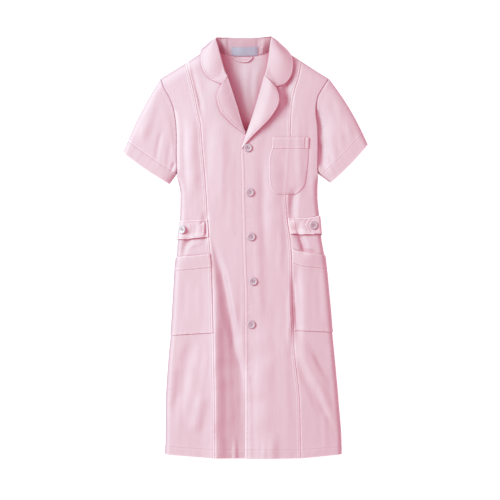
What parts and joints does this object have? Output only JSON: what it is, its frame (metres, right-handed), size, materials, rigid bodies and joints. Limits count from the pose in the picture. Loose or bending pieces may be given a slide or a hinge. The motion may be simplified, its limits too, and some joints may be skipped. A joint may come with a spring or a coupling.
{
  "type": "nurse uniform",
  "caption": "Short-sleeved, button-front uniform dress with a notch collar, patch pockets and buttoned waist tabs, laid flat on its back.",
  "frame": {"origin": "centre of the bounding box, at floor height, on the flat underside of the back", "axes": "+X to the viewer's right across the front, +Y up the garment from hem to collar, +Z out of the front, away from the surface it lies on"},
  "size_m": [0.5876, 1.014, 0.0326],
  "materials": {
    "dress_cloth": "matt, fine plain weave",
    "pearl_button": "polished pearly resin",
    "label_tape": "matt woven tape",
    "tag_tape": "matt woven tape"
  },
  "bodies": {
    "root": {"back_panel": "dress_cloth", "front_side_left": "dress_cloth", "front_side_right": "dress_cloth", "front_centre_left": "dress_cloth", "front_centre_right": "dress_cloth", "sleeve_left": "dress_cloth", "sleeve_right": "dress_cloth", "hip_pocket_left": "dress_cloth", "hip_pocket_right": "dress_cloth", "chest_pocket": "dress_cloth", "waist_tab_left": "dress_cloth", "waist_tab_right": "dress_cloth", "back_belt": "dress_cloth", "lapel_left": "dress_cloth", "lapel_right": "dress_cloth", "collar_fall": "dress_cloth", "collar_stand": "dress_cloth", "hanging_loop": "dress_cloth", "front_button_1": "pearl_button", "front_button_2": "pearl_button", "front_button_3": "pearl_button", "front_button_4": "pearl_button", "front_button_5": "pearl_button", "tab_button_left": "pearl_button", "tab_button_right": "pearl_button", "neck_label": "label_tape", "size_tag": "tag_tape"}
  },
  "joints": []
}
